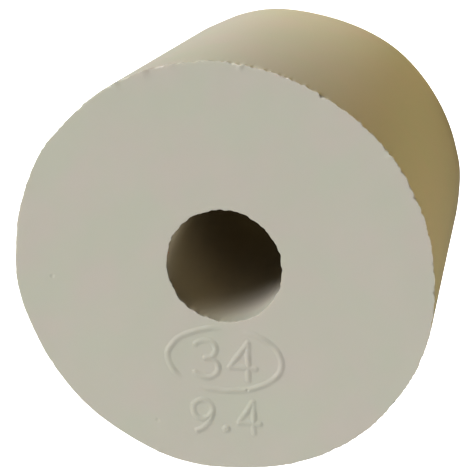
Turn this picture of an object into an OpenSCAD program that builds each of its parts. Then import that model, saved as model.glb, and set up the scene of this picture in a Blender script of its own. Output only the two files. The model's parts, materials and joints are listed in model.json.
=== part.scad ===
// One-hole rubber stopper: a tapered plug, moulded in one piece, with a straight hole through its axis.
// The plug stands on its narrow end. Z runs along its axis towards the wide end, and the origin is at the
// centre of the narrow end. Lengths are in millimetres.

/* [Plug] */
// Diameter of the wide end, taken where the taper meets its flat face
wide_d = 34; // [30:0.5:60]
// Diameter of the narrow end, taken where the taper meets its flat face
narrow_d = 27; // [18:0.5:28]
// Length from one flat face to the other
plug_length = 25; // [20:0.5:40]

/* [Hole] */
// Diameter of the hole that grips a glass tube or an airlock stem
hole_d = 9.4; // [4:0.1:12]

/* [Edges] */
// Bevel left round the wide end where the moulding flash is trimmed off
trim_bevel = 0.1; // [0.05:0.05:1.5]
// Radius of the edge round the narrow end, which leads the plug into a neck
lead_in_r = 1.5; // [0.2:0.1:2.5]

/* [Hidden] */
$fn = 180;

rubber = [0.73, 0.71, 0.65];

wide_r = wide_d / 2;
narrow_r = narrow_d / 2;
// Angle between the side and the axis
taper = atan((wide_r - narrow_r) / plug_length);
// The hole's cutter passes both faces by this much
overshoot = 1;

// The lead-in is an arc that is tangent to the narrow face and to the side, so its centre lies one radius
// inside both lines, and it meets the side one radius further out, square to the side
lead_in_centre = [narrow_r - lead_in_r * (1 - sin(taper)) / cos(taper), lead_in_r];
lead_in_end = lead_in_centre + lead_in_r * [cos(taper), -sin(taper)];

// Half section of the solid plug: radius across, height up
module plug_section() {
    polygon([
        [0, 0],
        [lead_in_centre[0], 0],
        lead_in_centre,
        lead_in_end,
        [wide_r - trim_bevel * tan(taper), plug_length - trim_bevel],
        [wide_r - trim_bevel, plug_length],
        [0, plug_length],
    ]);
    translate(lead_in_centre) circle(lead_in_r);
}

// The moulded plug, turned about its axis and bored from face to face
module stopper() {
    color(rubber)
        difference() {
            rotate_extrude() plug_section();
            translate([0, 0, -overshoot]) cylinder(h = plug_length + 2 * overshoot, d = hole_d);
        }
}

stopper();
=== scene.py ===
import json
import math

import bmesh
import bpy
from mathutils import Matrix, Vector, kdtree, noise
from mathutils.geometry import delaunay_2d_cdt


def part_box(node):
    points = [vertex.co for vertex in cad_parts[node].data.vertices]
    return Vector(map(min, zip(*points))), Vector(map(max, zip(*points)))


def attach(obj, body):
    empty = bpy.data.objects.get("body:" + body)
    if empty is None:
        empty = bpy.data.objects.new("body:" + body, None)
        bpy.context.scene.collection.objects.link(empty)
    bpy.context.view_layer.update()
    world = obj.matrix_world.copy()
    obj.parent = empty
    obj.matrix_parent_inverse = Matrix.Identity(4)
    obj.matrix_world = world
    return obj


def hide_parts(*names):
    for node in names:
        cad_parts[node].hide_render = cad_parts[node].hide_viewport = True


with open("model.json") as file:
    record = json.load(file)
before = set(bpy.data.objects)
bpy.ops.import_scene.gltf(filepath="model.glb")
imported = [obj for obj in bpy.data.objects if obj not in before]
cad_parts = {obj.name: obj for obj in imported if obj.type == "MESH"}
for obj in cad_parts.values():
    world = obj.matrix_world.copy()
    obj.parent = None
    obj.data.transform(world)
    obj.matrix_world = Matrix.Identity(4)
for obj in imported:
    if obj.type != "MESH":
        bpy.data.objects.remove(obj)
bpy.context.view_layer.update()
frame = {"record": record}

MM = 0.001
TINY = 0.001      # millimetres; nearer than this is the same place


# ---------------------------------------------------------------- sizes, from the frame

def mount(name):
    """The record's mount of that name."""
    return next(m for m in frame["record"]["mounts"] if m["name"] == name)


box_low, box_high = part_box("stopper")
HEIGHT = (box_high.z - box_low.z) / MM
RIM_R = (box_high.x - box_low.x) / 2 / MM
HOLE_R = mount("tube_hole")["dims"]["r_mm"]

# Bevel where the flash is trimmed off, radius of the narrow end's lead-in, and what the side gains in
# radius for each millimetre of height
TRIM_BEVEL = 0.1
LEAD_IN_R = 1.5
SLOPE = 3.5 / 25
TAPER = math.atan(SLOPE)

# Radii at the sharp corners of the taper, and at the centre of the lead-in's arc
WIDE_R = RIM_R + TRIM_BEVEL * SLOPE
NARROW_R = WIDE_R - HEIGHT * SLOPE
LEAD_IN_CENTRE_R = NARROW_R - LEAD_IN_R * (1 - math.sin(TAPER)) / math.cos(TAPER)


# ---------------------------------------------------------------- raised marks

# Centre of the oval ring on the wide end, and its half width and half height
RING_CENTRE = Vector((-0.2, -7.85))
RING_HALF = Vector((4.62, 2.63))
# The ring is worn away between these pairs of angles, and comes back to its full height over WEAR_FADE
# degrees
RING_WORN = ((62, 98), (214, 246))
WEAR_FADE = 16
# The plug's diameter stands in the ring and the hole's under it, where such plugs carry their size:
# number, centre, height of its numerals and gap between them
NUMBERS = (("34", RING_CENTRE, 3.1, 0.9), ("9.4", RING_CENTRE + Vector((0, -4.75)), 2.6, 0.8))
STROKE_HALF_WIDTH = 0.32
STROKE_HEIGHT = 0.056
STROKE_STEP = 0.04
# How the worn mould casts the strokes unevenly: length of the waves, how far a stroke strays in them, and
# the share of its height that it gains or loses
CAST_WAVE = 1.1
CAST_STRAY = 0.09
CAST_SHARE = 0.6
# How far the painted shade round a stroke's foot reaches, and the largest share of the shade's colour that
# it mixes in
FOOT_SHADE_REACH = 0.5
FOOT_SHADE_MOST = 0.13

# Numerals as an engraver cuts them, one stroke after another, in a box NUMERAL_WIDTH wide and 1 high. The
# decimal point's box is POINT_WIDTH wide. A line is its two ends. An arc is its centre, its half width and
# half height, and the degrees at which it starts and stops.
NUMERAL_WIDTH = 0.66
POINT_WIDTH = 0.16
NUMERALS = {
    "3": [("arc", (0.31, 0.76), (0.28, 0.24), (150, -90)),
          ("arc", (0.31, 0.26), (0.33, 0.26), (90, -150))],
    "4": [("line", (0.47, 0), (0.47, 1)),
          ("line", (0.47, 1), (0, 0.30)),
          ("line", (0, 0.30), (0.66, 0.30))],
    "9": [("arc", (0.32, 0.70), (0.30, 0.30), (0, 360)),
          ("arc", (0.06, 0.68), (0.56, 0.68), (2, -80))],
    ".": [("arc", (0.08, 0.06), (0.04, 0.04), (0, 360))],
}


def walk_line(start, end, step):
    """Points from start to end, a step apart or less."""
    start, end = Vector(start), Vector(end)
    count = max(1, math.ceil((end - start).length / step))
    return [start.lerp(end, i / count) for i in range(count + 1)]


def walk_arc(centre, half, degrees, step):
    """Points along an elliptical arc, a step apart or less."""
    first, last = map(math.radians, degrees)
    count = max(2, math.ceil(abs(last - first) * max(half) / step))
    turns = [first + (last - first) * i / count for i in range(count + 1)]
    (x, y), (half_x, half_y) = centre, half
    return [Vector((x + half_x * math.cos(t), y + half_y * math.sin(t))) for t in turns]


def numeral_points(digit, corner, size):
    """Points along a numeral's strokes, with its lower left corner at a point of the face."""
    points = []
    for kind, *form in NUMERALS[digit]:
        walk = walk_line if kind == "line" else walk_arc
        points += [corner + p * size for p in walk(*form, STROKE_STEP / size)]
    return points


def number_points(number, centre, size, gap):
    """Points along a number's strokes, with the number centred on a point of the face."""
    widths = [(POINT_WIDTH if digit == "." else NUMERAL_WIDTH) * size for digit in number]
    corner = centre - Vector((sum(widths) + gap * (len(number) - 1), size)) / 2
    points = []
    for digit, width in zip(number, widths):
        points += numeral_points(digit, corner, size)
        corner = corner + Vector((width + gap, 0))
    return points


def ring_wear(degrees):
    """How much of the ring's height is left at an angle, from 0 to 1."""
    left = 1.0
    for first, last in RING_WORN:
        middle, half = (first + last) / 2, (last - first) / 2
        outside = abs((degrees - middle + 180) % 360 - 180) - half
        left = min(left, max(0, 0.5 + outside / WEAR_FADE))
    return left


def as_cast(point, height):
    """A stroke's point as the worn mould casts it: a little out of place, and taller or lower."""
    spot = point.to_3d() / CAST_WAVE
    strayed = Vector((noise.noise(spot + Vector((0, 0, 5))), noise.noise(spot + Vector((0, 0, 8)))))
    return point + CAST_STRAY * strayed, height * (1 + CAST_SHARE * noise.noise(spot))


def mark_strokes():
    """(point, height) along every raised stroke on the wide end."""
    ring = walk_arc(RING_CENTRE, RING_HALF, (0, 360), STROKE_STEP)
    strokes = []
    for i, point in enumerate(ring[:-1]):
        strokes.append(as_cast(point, STROKE_HEIGHT * ring_wear(360 * i / (len(ring) - 1))))
    for number in NUMBERS:
        strokes += [as_cast(point, STROKE_HEIGHT) for point in number_points(*number)]
    return strokes


MARKS = mark_strokes()
MARK_TREE = kdtree.KDTree(len(MARKS))
for index, (point, _) in enumerate(MARKS):
    MARK_TREE.insert(point.to_3d(), index)
MARK_TREE.balance()


def mark_distance(x, y):
    """Distance to the nearest raised stroke, and that stroke's height there."""
    _, index, distance = MARK_TREE.find((x, y, 0))
    return distance, MARKS[index][1]


def mark_height(x, y):
    """How far the marks stand up from the wide end at a point: round-topped ridges with soft feet."""
    distance, height = mark_distance(x, y)
    if distance >= STROKE_HALF_WIDTH:
        return 0.0
    return height * (1 - (distance / STROKE_HALF_WIDTH) ** 2) ** 2


def painted_foot_shade(x, y):
    """How much painted shade darkens a point of the wide end, from 0 to 1: it lies along the marks' feet,
    in the creases where shade falls.
    """
    distance, height = mark_distance(x, y)
    share = distance / FOOT_SHADE_REACH
    return 0.0 if share >= 1 else FOOT_SHADE_MOST * (1 - share ** 2) ** 2 * height / STROKE_HEIGHT


# ---------------------------------------------------------------- small faults of the moulding

# Chips in the trimmed edge of the wide end: angle, half width and depth
CHIPS = (
    (-38, 0.30, 0.06), (-4, 0.30, 0.09), (23, 0.25, 0.09), (38, 0.35, 0.06), (60.4, 0.35, 0.16),
    (68.6, 0.30, 0.06), (71.8, 0.35, 0.08), (86.0, 0.30, 0.06), (106.1, 0.40, 0.065), (116.8, 0.35, 0.06),
    (121.6, 0.25, 0.06), (127.4, 0.25, 0.05), (132.5, 0.30, 0.05), (212, 0.30, 0.04), (300, 0.30, 0.04))
# Beads of flash left standing on that edge: angle, half width and height. They stand out half as far.
BEADS = (
    (36, 0.30, 0.04), (83.9, 0.40, 0.08), (103.2, 0.50, 0.03), (110.8, 0.55, 0.09), (119.6, 0.40, 0.07),
    (160, 0.35, 0.03), (250, 0.40, 0.03))
# How the trimmed edge strays from its circle: slow waves, the knife's small teeth, and how far inside the
# circle it lies. Each wave is its height, its length and its place in the noise.
EDGE_WAVES = ((0.04, 3.5, 3.1),)
EDGE_TEETH = ((0.05, 0.9, 5.2), (0.13, 0.33, 1.3))
EDGE_INSET = 0.03
# How far from the edge the beads and the straying reach
EDGE_REACH = 0.9
# The edge's least bevel, and the small nicks in it: their depth and length, their place in the noise, and
# what the noise has to pass for one to start
EDGE_BEVEL = 0.003
NICK_DEPTH = 0.12
NICK_LENGTH = 0.45
NICK_PLACE = 7.7
NICK_START = 0.2
# The knife tore the edge most on the side at this bearing
TORN_SIDE = 55
# How the hole strays from its circle at its mouths: slow waves and ragged teeth, as above, and how far from
# the mouth's edge each of them reaches
MOUTH_WAVES = ((0.07, 2.5, 1),)
MOUTH_TEETH = ((0.09, 0.8, 2), (0.07, 0.35, 3))
MOUTH_REACH = 3
RAGGED_REACH = 1.1
# The least and the most that the mouth's edge is worn, and the length of the waves in that
MOUTH_WEAR = (0.006, 0.026)
MOUTH_WEAR_LENGTH = 0.5
# The two mouths: level, the way that each faces along Z, and its place in the noise
MOUTHS = ((HEIGHT, 1, 2.2), (0.0, -1, 8.4))
# The hole's wall is painted grey, darkest at the mouth, on the side at this bearing, which the keys light.
# Elsewhere it is painted brown, and darker deeper down, as the shade in the hole looks. It is all grey out
# to the first angle below from there, and the grey ends at the second.
LIT_SIDE = 315
LIT_SIDE_FULL = 29.5
LIT_SIDE_END = 80.2
# Where the plug is pressed out of round, at its wide end and at its narrow end: bearing, half width as
# measured round the wide end, and gain in radius
WIDE_OUT_OF_ROUND = (
    (62, 9, -0.17), (136, 3, -0.08), (151, 3, 0.11), (170, 3, 0.07), (189, 4.5, 0.19), (256, 5, 0.12),
    (300, 8, 0.20), (332, 11, 0.24))
NARROW_OUT_OF_ROUND = (
    (-18, 3, 0.05), (3, 2.5, 0.09), (56, 9, 0.12), (75, 8, -0.27), (97, 5, 0.05), (116, 2.5, -0.09))
# Waves that leave the wide end not quite flat. Each is its height, its length and its place in the noise.
END_WAVES = ((0.03, 7, 4), (0.012, 2.2, 9))
# Pinholes in the wide end: place, radius and depth
PINHOLES = (
    ((-13.95, -1.65), 0.20, 0.032), ((-5.8, -13.3), 0.20, 0.022), ((1.6, -10.3), 0.15, 0.05),
    ((-9.5, -9.8), 0.15, 0.01))


def circle_noise(angle, radius, wavelength, seed):
    """Smooth noise from -1 to 1 along a circle, which closes on itself."""
    reach = radius / wavelength
    return noise.noise(Vector((math.cos(angle) * reach, math.sin(angle) * reach, seed)))


def waves_round(angle, radius, waves, seed=0.0):
    """Sum of the waves (height, length, place in the noise) of a circle at an angle."""
    return sum(height * circle_noise(angle, radius, length, seed + place)
               for height, length, place in waves)


def bumps(angle, radius, spots):
    """Sum of the rounded bumps (place, half width, height) of a circle at an angle."""
    total = 0.0
    for degrees, half_width, height in spots:
        away = abs((math.degrees(angle) - degrees + 180) % 360 - 180)
        share = math.radians(away) * radius / half_width
        if share < 1:
            total += height * (1 - share ** 2) ** 2
    return total


def torn_share(angle):
    """How badly the knife tore the edge at an angle, from 0.1 to 1."""
    return 0.55 + 0.45 * math.cos(angle - math.radians(TORN_SIDE))


def trim_depth(angle):
    """How deep the trimming knife and handling cut into the wide end's sharp corner at an angle."""
    nicks = max(0, circle_noise(angle, WIDE_R, NICK_LENGTH, NICK_PLACE) - NICK_START) * torn_share(angle)
    return EDGE_BEVEL + NICK_DEPTH * nicks + bumps(angle, WIDE_R, CHIPS)


def rim_wander(angle):
    """How far the trimmed edge strays outwards from its circle at an angle."""
    teeth = waves_round(angle, WIDE_R, EDGE_TEETH) * torn_share(angle)
    return waves_round(angle, WIDE_R, EDGE_WAVES) + teeth - EDGE_INSET


def mouth_depth(angle, seed):
    """How deep the hole's sharp edge is worn at an angle."""
    least, most = MOUTH_WEAR
    return least + (most - least) * abs(circle_noise(angle, HOLE_R, MOUTH_WEAR_LENGTH, seed))


def lit_side_paint(angle):
    """How much of the hole's wall takes the painted grey of its lit side at an angle, from 0 to 1."""
    full, end = math.cos(math.radians(LIT_SIDE_FULL)), math.cos(math.radians(LIT_SIDE_END))
    return min(1, max(0, (math.cos(angle - math.radians(LIT_SIDE)) - end) / (full - end)))


def mouth_wander(angle, away, seed):
    """How far the hole strays outwards from its circle at an angle, and at a distance from its edge."""
    slow, ragged = max(0, 1 - away / MOUTH_REACH), max(0, 1 - away / RAGGED_REACH)
    waves = waves_round(angle, HOLE_R, MOUTH_WAVES, seed) * slow ** 2
    return waves + waves_round(angle, HOLE_R, MOUTH_TEETH, seed) * ragged ** 2


def cut_corner(along, up, depth):
    """Cuts a corner at 45 degrees, depth below its sharp point. along and up are distances outwards from
    that point, so they are negative in the solid. What stands above the cut is pressed back onto it."""
    above = (along + up) / math.sqrt(2) + depth
    if above <= 0:
        return along, up
    return along - above / math.sqrt(2), up - above / math.sqrt(2)


def end_height(x, y):
    """How far the wide end stands above its plane at a point: waves, marks and pinholes."""
    height = mark_height(x, y)
    for wave_height, length, place in END_WAVES:
        height += wave_height * noise.noise(Vector((x, y, place)) / length)
    for (pit_x, pit_y), pit_r, pit_depth in PINHOLES:
        share = math.hypot(x - pit_x, y - pit_y) / pit_r
        if share < 1:
            height -= pit_depth * (1 - share ** 2)
    return height


def shape_point(x, y, z):
    """Where a point of the perfect plug lies on the real one."""
    radius, angle = math.hypot(x, y), math.atan2(y, x)
    if radius > HOLE_R and z > HEIGHT - TINY:
        z += end_height(x, y)
    # The trimmed edge of the wide end
    if math.hypot(radius - WIDE_R, z - HEIGHT) < 2 * EDGE_REACH:
        along, up = cut_corner(radius - WIDE_R, z - HEIGHT, trim_depth(angle))
        near = max(0, 1 - math.hypot(along, up) / EDGE_REACH)
        flash = bumps(angle, WIDE_R, BEADS) * near ** 2
        radius, z = WIDE_R + along + flash * 0.5 + rim_wander(angle) * near, HEIGHT + up + flash
    # The hole's mouths: not quite round, with a worn edge
    for level, sign, seed in MOUTHS:
        depth, outside = sign * (level - z), max(radius - HOLE_R, 0)
        away = max(depth, 0) + 2 * outside
        if away < MOUTH_REACH:
            sunk = depth if outside > TINY else max(depth, 0)
            along, up = cut_corner(HOLE_R - radius, -sunk, mouth_depth(angle, seed))
            radius, z = HOLE_R - along + mouth_wander(angle, away, seed), level + sign * up
    # Out of round: most at the outside, and not at all in the hole
    if radius > HOLE_R:
        gain = bumps(angle, WIDE_R, NARROW_OUT_OF_ROUND)
        gain += (bumps(angle, WIDE_R, WIDE_OUT_OF_ROUND) - gain) * z / HEIGHT
        radius += gain * (radius - HOLE_R) / (WIDE_R - HOLE_R)
    return Vector((radius * math.cos(angle), radius * math.sin(angle), z))


# ---------------------------------------------------------------- the plug's mesh

# Points round the outside and round the hole, rows down the side, round the lead-in and down the hole
RIM_COUNT = 900
HOLE_COUNT = 300
SIDE_ROWS = 20
LEAD_IN_ROWS = 9
HOLE_ROWS = 28
# How strongly the side's rows crowd towards the rim, where the trimmed edge's faults are
SIDE_CROWDING = 2.4
# The ends' largest mesh spacing, and how far their points keep off the two rings, as a share of the spacing
LARGEST_CELL = 1.28
KEEP_OFF = 0.6
# The spacing that a place on an end needs: the finest, how far from the place it stays so fine, and how
# much it grows for each millimetre beyond that
WIDE_EDGE_CELL = (0.09, 0.6, 0.25)
WIDE_MOUTH_CELL = (0.10, 0.4, 0.25)
MARK_CELL = (0.07, 0.1, 0.3)
PINHOLE_CELL = (0.05, 0, 0.3)
NARROW_EDGE_CELL = (0.17, 0, 0.4)
NARROW_MOUTH_CELL = (0.17, 0.3, 0.4)
# Edges that bend by more degrees than this are shown sharp
SHARP_BEND = 50


def outer_profile():
    """(r, z) down the outside of the plug, from the sharp rim of the wide end to the flat narrow end."""
    arc_centre = Vector((LEAD_IN_CENTRE_R, LEAD_IN_R))
    turns = [-TAPER + (TAPER - math.pi / 2) * i / LEAD_IN_ROWS for i in range(LEAD_IN_ROWS + 1)]
    arc = [arc_centre + LEAD_IN_R * Vector((math.cos(t), math.sin(t))) for t in turns]
    shares = [(i / SIDE_ROWS) ** SIDE_CROWDING for i in range(SIDE_ROWS)]
    return [Vector((WIDE_R, HEIGHT)).lerp(arc[0], share) for share in shares] + arc


def ring_of(mesh, radius, z, count):
    """A ring of vertices."""
    turns = [2 * math.pi * i / count for i in range(count)]
    return [mesh.verts.new((radius * math.cos(t), radius * math.sin(t), z)) for t in turns]


def band(mesh, upper, lower):
    """A band of quads between two rings of the same count."""
    for i in range(len(upper)):
        mesh.faces.new((upper[i - 1], lower[i - 1], lower[i], upper[i]))


def spacing_near(cell, away):
    """The mesh spacing at a distance from a place that needs that cell."""
    finest, reach, growth = cell
    return finest + max(0, away - reach) * growth


def wide_cell(x, y):
    """The mesh spacing that the wide end needs at a point: fine at its edges, marks and pinholes."""
    radius = math.hypot(x, y)
    needs = [spacing_near(WIDE_EDGE_CELL, WIDE_R - radius),
             spacing_near(WIDE_MOUTH_CELL, radius - HOLE_R),
             spacing_near(MARK_CELL, mark_distance(x, y)[0] - STROKE_HALF_WIDTH)]
    for (pit_x, pit_y), pit_r, _ in PINHOLES:
        needs.append(spacing_near(PINHOLE_CELL, math.hypot(x - pit_x, y - pit_y) - pit_r))
    return min(needs)


def narrow_cell(x, y):
    """The mesh spacing that the narrow end needs at a point: fine at its edges."""
    radius = math.hypot(x, y)
    return min(spacing_near(NARROW_EDGE_CELL, LEAD_IN_CENTRE_R - radius),
               spacing_near(NARROW_MOUTH_CELL, radius - HOLE_R))


def graded_points(spacing, inner, outer):
    """Points between two radii, as close together as spacing(x, y) asks: squares split until they fit."""
    points = []
    reach = math.ceil(outer / LARGEST_CELL)
    starts = [i * LARGEST_CELL for i in range(-reach, reach)]
    squares = [(x, y, LARGEST_CELL) for x in starts for y in starts]
    while squares:
        x, y, side = squares.pop()
        middle = (x + side / 2, y + side / 2)
        radius = math.hypot(*middle)
        if radius > outer + side or radius < inner - side:
            continue
        if side > spacing(*middle):
            half = side / 2
            squares += [(x + dx, y + dy, half) for dy in (0, half) for dx in (0, half)]
        elif inner + KEEP_OFF * side < radius < outer - KEEP_OFF * side:
            points.append(middle)
    return points


def end_face(mesh, outer_ring, inner_ring, spacing):
    """Fills a flat end between its two rings with triangles."""
    rings = outer_ring + inner_ring
    inner, outer = inner_ring[0].co.xy.length, outer_ring[0].co.xy.length
    flat = [v.co.xy for v in rings] + [Vector(p) for p in graded_points(spacing, inner, outer)]
    edges = []
    for first, count in ((0, len(outer_ring)), (len(outer_ring), len(inner_ring))):
        edges += [(first + i, first + (i + 1) % count) for i in range(count)]
    made, _, triangles, sources, *_ = delaunay_2d_cdt(flat, edges, [], 0, 1e-6)
    # The triangles cover the hole too. Those have their middles nearer than the flats of the inner ring.
    flats = inner * math.cos(math.pi / len(inner_ring))
    level = outer_ring[0].co.z
    verts = []
    for point, source in zip(made, sources):
        on_ring = source and source[0] < len(rings)
        verts.append(rings[source[0]] if on_ring else mesh.verts.new((*point, level)))
    for triangle in triangles:
        corners = [verts[i] for i in triangle]
        middle = sum((v.co.xy for v in corners), Vector((0, 0))) / 3
        if middle.length > flats:
            mesh.faces.new(corners)


def build_plug():
    """The whole plug as one closed mesh."""
    mesh = bmesh.new()
    outside = [ring_of(mesh, r, z, RIM_COUNT) for r, z in outer_profile()]
    for upper, lower in zip(outside, outside[1:]):
        band(mesh, upper, lower)
    levels = [HEIGHT * (1 - math.cos(math.pi * i / HOLE_ROWS)) / 2 for i in range(HOLE_ROWS + 1)]
    bore = [ring_of(mesh, HOLE_R, z, HOLE_COUNT) for z in levels]
    for lower, upper in zip(bore, bore[1:]):
        band(mesh, lower, upper)
    end_face(mesh, outside[0], bore[-1], wide_cell)
    end_face(mesh, outside[-1], bore[0], narrow_cell)
    bmesh.ops.recalc_face_normals(mesh, faces=mesh.faces)
    # The share of painted shade round the marks' feet, for the material
    foot_shade = mesh.verts.layers.float.new("painted_foot_shade")
    # How much of the hole's wall takes the painted grey of its lit side
    lit_side = mesh.verts.layers.float.new("lit_side_paint")
    for vert in mesh.verts:
        if vert.co.z > HEIGHT - TINY:
            vert[foot_shade] = painted_foot_shade(vert.co.x, vert.co.y)
        vert[lit_side] = lit_side_paint(math.atan2(vert.co.y, vert.co.x))
        vert.co = shape_point(*vert.co) * MM
    data = bpy.data.meshes.new("rubber_plug")
    mesh.to_mesh(data)
    mesh.free()
    data.shade_smooth()
    data.set_sharp_from_angle(angle=math.radians(SHARP_BEND))
    piece = bpy.data.objects.new("rubber_plug", data)
    bpy.context.collection.objects.link(piece)
    return piece


# ---------------------------------------------------------------- materials

# Across a patch of the mixing's mottle, across a grain of the mould's finish, and down from the hole's
# mouth to where the painted shade of its wall is darkest
MOTTLE_SIZE = 5
GRAIN_SIZE = 0.22
DARKEST_DEPTH = 12
# Below the wide mouth, the painted light and shade of the hole's wall starts between these two depths. It
# reaches this far beyond the hole's radius, so the narrow end has a band of it round the hole.
WALL_START = (0.05, 0.35)
WALL_MARGIN = 0.5


def linear(hex_colour):
    """An sRGB hex value as linear red, green, blue and alpha."""
    channels = [int(hex_colour[i:i + 2], 16) / 255 for i in (1, 3, 5)]
    return (*[c / 12.92 if c <= 0.04045 else ((c + 0.055) / 1.055) ** 2.4 for c in channels], 1.0)


def add_node(tree, kind, settings=None, links=None):
    """Adds a node. settings sets its properties and its sockets' values, and links joins its sockets."""
    node = tree.nodes.new(kind)
    for name, value in (settings or {}).items():
        if isinstance(name, str) and hasattr(node, name):
            setattr(node, name, value)
        else:
            node.inputs[name].default_value = value
    for name, source in (links or {}).items():
        tree.links.new(source, node.inputs[name])
    return node


def new_material(name):
    """A material with an empty tree but for its output."""
    material = bpy.data.materials.new(name)
    material.use_nodes = True
    material.node_tree.nodes.clear()
    return material, material.node_tree, material.node_tree.nodes.new("ShaderNodeOutputMaterial")


def set_ramp(ramp_node, low, high):
    """Sets a new ramp's two stops, each a position and a hex colour."""
    for stop, (position, hex_colour) in zip(ramp_node.color_ramp.elements, (low, high)):
        stop.position = position
        stop.color = linear(hex_colour)


def moulded_natural_rubber():
    """Chalk-filled natural rubber, pressed in a smooth steel mould: an off-white, matt, faintly
    translucent surface, with a fine grain from the mould and a little mottling from the mixing.
    The hole's wall is painted with light and shade: brown, and darker deeper down, on its shaded side, and
    grey, darkest at the mouth, on the side that the keys light.
    Painted shade darkens the wide end round the feet of the raised marks, where their creases hold shade."""
    material, tree, output = new_material("moulded_natural_rubber")
    place = add_node(tree, "ShaderNodeTexCoord").outputs["Object"]
    mottle = add_node(tree, "ShaderNodeTexNoise", {"Scale": 1 / (MOTTLE_SIZE * MM), "Detail": 3.0},
                      {"Vector": place})
    tone = add_node(tree, "ShaderNodeValToRGB", None, {"Fac": mottle.outputs["Fac"]})
    set_ramp(tone, (0.35, "#B8B6A4"), (0.65, "#BCB4A6"))

    # Where the painted light and shade of the hole's wall goes
    axes = add_node(tree, "ShaderNodeSeparateXYZ", None, {"Vector": place})
    across = add_node(tree, "ShaderNodeCombineXYZ", None,
                      {"X": axes.outputs["X"], "Y": axes.outputs["Y"]})
    radius = add_node(tree, "ShaderNodeVectorMath", {"operation": "LENGTH"},
                      {"Vector": across.outputs["Vector"]})
    inside = add_node(tree, "ShaderNodeMath", {"operation": "LESS_THAN", 1: (HOLE_R + WALL_MARGIN) * MM},
                      {0: radius.outputs["Value"]})
    below = add_node(tree, "ShaderNodeMapRange",
                     {"From Min": (HEIGHT - WALL_START[0]) * MM,
                      "From Max": (HEIGHT - WALL_START[1]) * MM},
                     {"Value": axes.outputs["Z"]})
    bored = add_node(tree, "ShaderNodeMath", {"operation": "MULTIPLY"},
                     {0: inside.outputs["Value"], 1: below.outputs["Result"]})
    # The painted light and shade of that wall, from the mouth down to the darkest depth: brown, darker
    # deeper down, on the shaded side, and grey, darkest at the mouth, on the side that the keys light
    depth = add_node(tree, "ShaderNodeMapRange",
                     {"From Min": HEIGHT * MM, "From Max": (HEIGHT - DARKEST_DEPTH) * MM},
                     {"Value": axes.outputs["Z"]})
    shaded_side_ramp = add_node(tree, "ShaderNodeValToRGB", None, {"Fac": depth.outputs["Result"]})
    set_ramp(shaded_side_ramp, (0.2, "#C2B496"), (1.0, "#AA9D84"))
    lit_side_ramp = add_node(tree, "ShaderNodeValToRGB", None, {"Fac": depth.outputs["Result"]})
    set_ramp(lit_side_ramp, (0.0, "#99998A"), (0.25, "#ABA497"))
    lit_side = add_node(tree, "ShaderNodeAttribute", {"attribute_name": "lit_side_paint"})
    wall = add_node(tree, "ShaderNodeMix", {"data_type": "RGBA"},
                    {"Factor": lit_side.outputs["Fac"], 6: shaded_side_ramp.outputs["Color"], 7: lit_side_ramp.outputs["Color"]})
    colour = add_node(tree, "ShaderNodeMix", {"data_type": "RGBA"},
                      {"Factor": bored.outputs["Value"], 6: tone.outputs["Color"], 7: wall.outputs[2]})
    # Painted shade round the feet of the raised marks: the colour mixes towards a dark grey there
    foot_shade = add_node(tree, "ShaderNodeAttribute", {"attribute_name": "painted_foot_shade"})
    foot_shaded = add_node(tree, "ShaderNodeMix", {"data_type": "RGBA", 7: linear("#918C7E")},
                     {"Factor": foot_shade.outputs["Fac"], 6: colour.outputs[2]})

    grain = add_node(tree, "ShaderNodeTexNoise", {"Scale": 1 / (GRAIN_SIZE * MM), "Detail": 2.0},
                     {"Vector": place})
    bump = add_node(tree, "ShaderNodeBump", {"Strength": 0.25, "Distance": 0.02 * MM},
                    {"Height": grain.outputs["Fac"]})
    shader = add_node(
        tree, "ShaderNodeBsdfPrincipled",
        {"Roughness": 0.62, "IOR": 1.52, "Subsurface Weight": 0.12, "Subsurface Scale": 1 * MM,
         "Subsurface Radius": (1.0, 0.7, 0.4)},
        {"Base Color": foot_shaded.outputs[2], "Normal": bump.outputs["Normal"]})
    tree.links.new(shader.outputs["BSDF"], output.inputs["Surface"])
    return material


def matt_board(name, hex_colour):
    """Plain matt card for the stage: one even shade, with no sheen."""
    material, tree, output = new_material(name)
    shader = add_node(tree, "ShaderNodeBsdfDiffuse", {"Color": linear(hex_colour)})
    tree.links.new(shader.outputs["BSDF"], output.inputs["Surface"])
    return material


def warm_glow():
    """A warm glow for the light pads of the stage, as strong as each pad's own mesh asks. Rays find it by
    chance, since sampling it as a lamp beside lamps that are kept to one piece makes it too bright."""
    material, tree, output = new_material("warm_glow")
    material.cycles.emission_sampling = "NONE"
    glow = add_node(tree, "ShaderNodeAttribute", {"attribute_name": "glow"})
    shader = add_node(tree, "ShaderNodeEmission", {"Color": linear("#FFE8AC")},
                      {"Strength": glow.outputs["Fac"]})
    tree.links.new(shader.outputs["Emission"], output.inputs["Surface"])
    return material


# ---------------------------------------------------------------- stage, lights and camera

FLOOR_R = 3000
SHEET_STEP = 3      # degrees at most from one pair of a sheet's corners to the next

# Pads of warm light that lie just under the floor: name, stops and outer radius. They give the plug's side
# its tan shade towards +X and +Y. The near pad starts further out at its first bearings, so that the narrow
# end's rounded edge stays dark above it. A faint pad under the hole lifts the dark at its bottom.
PADS = (
    ("near_pad", ((-20, 15, 0), (-10, 15, 1.05), (25, 15, 1.05),
                  (35, 11.5, 1.32), (95, 11.5, 1.32), (115, 11.5, 0)), 50),
    ("far_pad", ((-45, 50, 2.66), (45, 50, 2.66)), 150),
    ("hole_pad", ((0, 0.1, 0.15), (360, 0.1, 0.15)), HOLE_R),
)
PAD_LEVEL = -0.2


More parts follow.
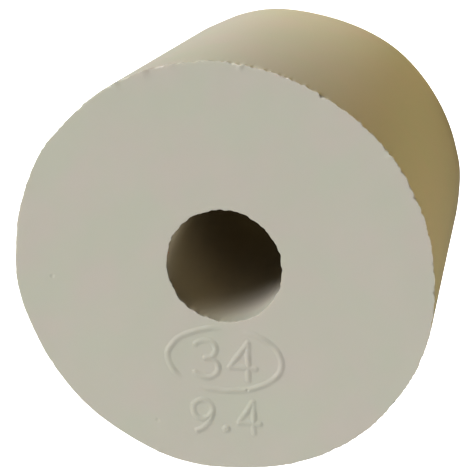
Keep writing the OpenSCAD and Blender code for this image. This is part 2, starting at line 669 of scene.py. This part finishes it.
def stage_sheet(name, stops, outer_r, material, level=0.0):
    """A flat sheet of the stage, a piece of a ring round the plug, at a level above the plug's foot. stops
    are its (bearing, inner radius, glow), and it runs evenly from one to the next. It doesn't show in the
    plug's faint gloss."""
    mesh = bmesh.new()
    glow = mesh.verts.layers.float.new("glow")
    spokes = []
    for start, end in zip(stops, stops[1:]):
        count = math.ceil((end[0] - start[0]) / SHEET_STEP)
        spokes += [Vector(start).lerp(Vector(end), i / count) for i in range(count)]
    spokes.append(Vector(stops[-1]))
    pairs = []
    for bearing, inner_r, strength in spokes:
        turn = math.radians(bearing)
        pair = [mesh.verts.new((r * math.cos(turn) * MM, r * math.sin(turn) * MM, 0))
                for r in (inner_r, outer_r)]
        for vert in pair:
            vert[glow] = strength
        pairs.append(pair)
    for (inner, outer), (next_inner, next_outer) in zip(pairs, pairs[1:]):
        mesh.faces.new((inner, outer, next_outer, next_inner))
    data = bpy.data.meshes.new(name)
    mesh.to_mesh(data)
    mesh.free()
    sheet = bpy.data.objects.new(name, data)
    bpy.context.collection.objects.link(sheet)
    sheet.location.z = box_low.z + level * MM
    sheet.data.materials.append(material)
    sheet.visible_glossy = False
    return sheet


def studio_air():
    """The world: a pale backdrop that lights nothing, so that the panels and pads alone light the plug."""
    world = bpy.data.worlds.new("studio")
    bpy.context.scene.world = world
    world.use_nodes = True
    tree = world.node_tree
    tree.nodes.clear()
    seen = add_node(tree, "ShaderNodeLightPath").outputs["Is Camera Ray"]
    backdrop = add_node(tree, "ShaderNodeBackground", {"Color": linear("#F7F6F4")}, {"Strength": seen})
    output = add_node(tree, "ShaderNodeOutputWorld")
    tree.links.new(backdrop.outputs["Background"], output.inputs["Surface"])


def towards(bearing, rise):
    """The direction from the plug to something at a bearing, and at a rise above the floor in degrees."""
    turn, lift = math.radians(bearing), math.radians(rise)
    return Vector((math.cos(turn) * math.cos(lift), math.sin(turn) * math.cos(lift), math.sin(lift)))


def panel(name, bearing, rise, distance, size, power, colour):
    """A square soft panel that faces the plug. Its distance and size are in metres, its power in watts."""
    data = bpy.data.lights.new(name, "AREA")
    data.size = size
    data.energy = power
    data.color = linear(colour)[:3]
    lamp = bpy.data.objects.new(name, data)
    bpy.context.collection.objects.link(lamp)
    away = towards(bearing, rise)
    lamp.location = PLUG_MIDDLE + away * distance
    lamp.rotation_mode = "QUATERNION"
    lamp.rotation_quaternion = away.to_track_quat("Z", "Y")
    return lamp


def light_only(piece, *lamps):
    """Keeps some lamps' light to one piece, and lets that piece alone block it."""
    lit = bpy.data.collections.new(piece.name + "_alone")
    lit.objects.link(piece)
    for lamp in lamps:
        lamp.light_linking.receiver_collection = lit
        lamp.light_linking.blocker_collection = lit


PLUG_MIDDLE = (box_low + box_high) / 2
FACE_CENTRE = Vector((PLUG_MIDDLE.x, PLUG_MIDDLE.y, box_high.z))

CAMERA_BEARING = 54.5
CAMERA_RISE = 65.6         # degrees above the floor
CAMERA_ROLL = -143.65      # degrees; turns the narrow end to the view's upper right
CAMERA_DISTANCE = 0.6      # metres from the wide end
CAMERA_LENS = 578.12       # focal length in millimetres, behind a frame 36 mm wide
# Where the camera aims: so far right of the wide end's centre in its view, and so far above it
CAMERA_AIM = Vector((1.06, 2.27)) * MM


def build_camera():
    """Looks down on the wide end, a little to one side, through a long lens."""
    data = bpy.data.cameras.new("camera")
    data.lens = CAMERA_LENS
    data.clip_start, data.clip_end = 0.05, 5.0
    camera = bpy.data.objects.new("camera", data)
    bpy.context.collection.objects.link(camera)
    upright = towards(CAMERA_BEARING, CAMERA_RISE).to_track_quat("Z", "Y").to_matrix()
    turned = upright @ Matrix.Rotation(math.radians(CAMERA_ROLL), 3, "Z")
    place = FACE_CENTRE + turned @ Vector((*CAMERA_AIM, CAMERA_DISTANCE))
    camera.matrix_world = Matrix.Translation(place) @ turned.to_4x4()
    bpy.context.scene.camera = camera


def build_stage():
    """A pale floor that only the camera sees, and the pads that light the plug from just under it.
    Returns the floor."""
    board = matt_board("pale_card", "#F2F1EE")
    sheet = stage_sheet("floor", ((0, TINY, 0), (360, TINY, 0)), FLOOR_R, board)
    sheet.visible_diffuse = False
    sheet.visible_shadow = False
    pad_light = warm_glow()
    for name, stops, outer_r in PADS:
        pad = stage_sheet(name, stops, outer_r, pad_light, PAD_LEVEL)
        pad.visible_camera = False
    return sheet


floor = build_stage()
studio_air()
build_camera()
bpy.context.scene.view_settings.view_transform = "Standard"

plug = build_plug()
plug.data.materials.append(moulded_natural_rubber())
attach(plug, "root")
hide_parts("stopper")

# Three panels light the plug alone. The floor has its own, overhead. The plug doesn't block it, so the
# floor stays white round the foot.
light_only(plug, panel("low_key", 142, 6, 1.2, 0.5, 6.4, "#FBFDFF"),
           panel("high_key", 142, 32.5, 1.2, 0.75, 20.2, "#FBFDFF"),
           panel("front_fill", 285, 35, 0.35, 0.26, 0.74, "#FBFDFF"))
light_only(floor, panel("floor_panel", 0, 90, 2.0, 2.4, 150, "#FFFFFF"))
